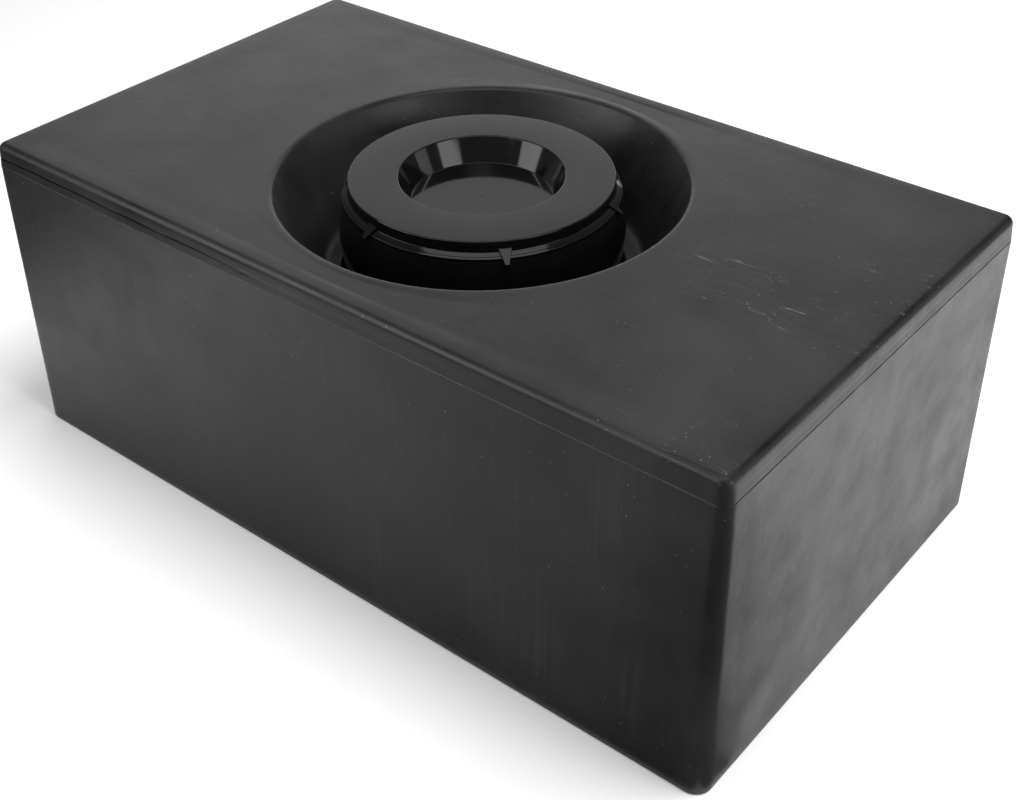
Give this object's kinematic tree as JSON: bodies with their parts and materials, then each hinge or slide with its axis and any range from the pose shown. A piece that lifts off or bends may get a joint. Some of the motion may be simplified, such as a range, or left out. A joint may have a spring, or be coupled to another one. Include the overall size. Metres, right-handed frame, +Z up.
{
  "type": "livestock water trough",
  "caption": "Insulated block drinker with a round bowl, a dished ball float on a vertical guide and a lever valve fed from below",
  "frame": {"origin": "on the ground under the middle of the block", "axes": "+X along the long side, +Y along the short side towards the back, +Z up"},
  "size_m": [1.0104, 0.5794, 0.3934],
  "materials": {
    "block_black": "matte",
    "float_black": "gloss",
    "foam": "matte",
    "black_fittings": "satin",
    "black_rubber": "matte",
    "white_plastic": "satin",
    "brass": "satin",
    "stainless": "satin",
    "cast_iron": "matte"
  },
  "bodies": {
    "block": {"deck": "block_black", "bowl": "block_black", "float_well": "block_black", "side_walls": "block_black", "base_pan": "block_black", "foam_core": "foam", "foam_fill_plugs": "black_fittings", "service_plate": "black_fittings", "valve_body": "black_fittings", "guide_spider": "black_fittings", "drain_outlet": "black_fittings", "drain_nut": "black_fittings", "pipe_grommet": "black_rubber", "inlet_washers": "black_rubber", "rest_ring": "black_rubber", "drain_gasket": "black_rubber", "valve_nozzle": "white_plastic", "guide_bush": "white_plastic", "plate_inserts": "brass", "inlet_fitting": "brass", "inlet_nut": "brass", "spider_inserts": "brass", "plate_screws": "stainless", "inlet_strainer": "stainless", "lever_pin": "stainless", "spider_screws": "stainless"},
    "ball_float": {"float_shell": "float_black", "float_gasket": "black_rubber", "float_ballast": "cast_iron", "float_stem": "stainless", "clevis_pin": "stainless", "stem_nuts": "stainless", "stem_washers": "stainless", "stem_seal": "black_rubber"},
    "lid": {"float_lid": "float_black"},
    "lever": {"valve_lever": "stainless"},
    "plunger": {"valve_plunger": "white_plastic", "valve_seal": "black_rubber"},
    "plug": {"drain_plug": "black_fittings"}
  },
  "joints": [
    {"name": "float_lift", "type": "slide", "parent": "block", "child": "ball_float", "axis": [0, 0, 1], "range_m": [0, 0.03]},
    {"name": "lid_turn", "type": "hinge", "parent": "ball_float", "child": "lid", "pos_m": [0, 0, 0.38], "axis": [0, 0, 1], "range_deg": [0, 30]},
    {"name": "lever_swing", "type": "hinge", "parent": "block", "child": "lever", "pos_m": [0.06, 0, 0.115], "axis": [0, 1, 0], "range_deg": [0, 28.65]},
    {"name": "plunger_press", "type": "slide", "parent": "block", "child": "plunger", "axis": [0, 0, -1], "range_m": [0, 0.006]},
    {"name": "drain_plug_pull", "type": "slide", "parent": "block", "child": "plug", "axis": [0, 0, 1], "range_m": [0, 0.05]}
  ],
  "couplings": [
    {"joint": "lever_swing", "follows": "float_lift", "rad_per_m": 16.667},
    {"joint": "plunger_press", "follows": "float_lift", "ratio": 0.2}
  ]
}
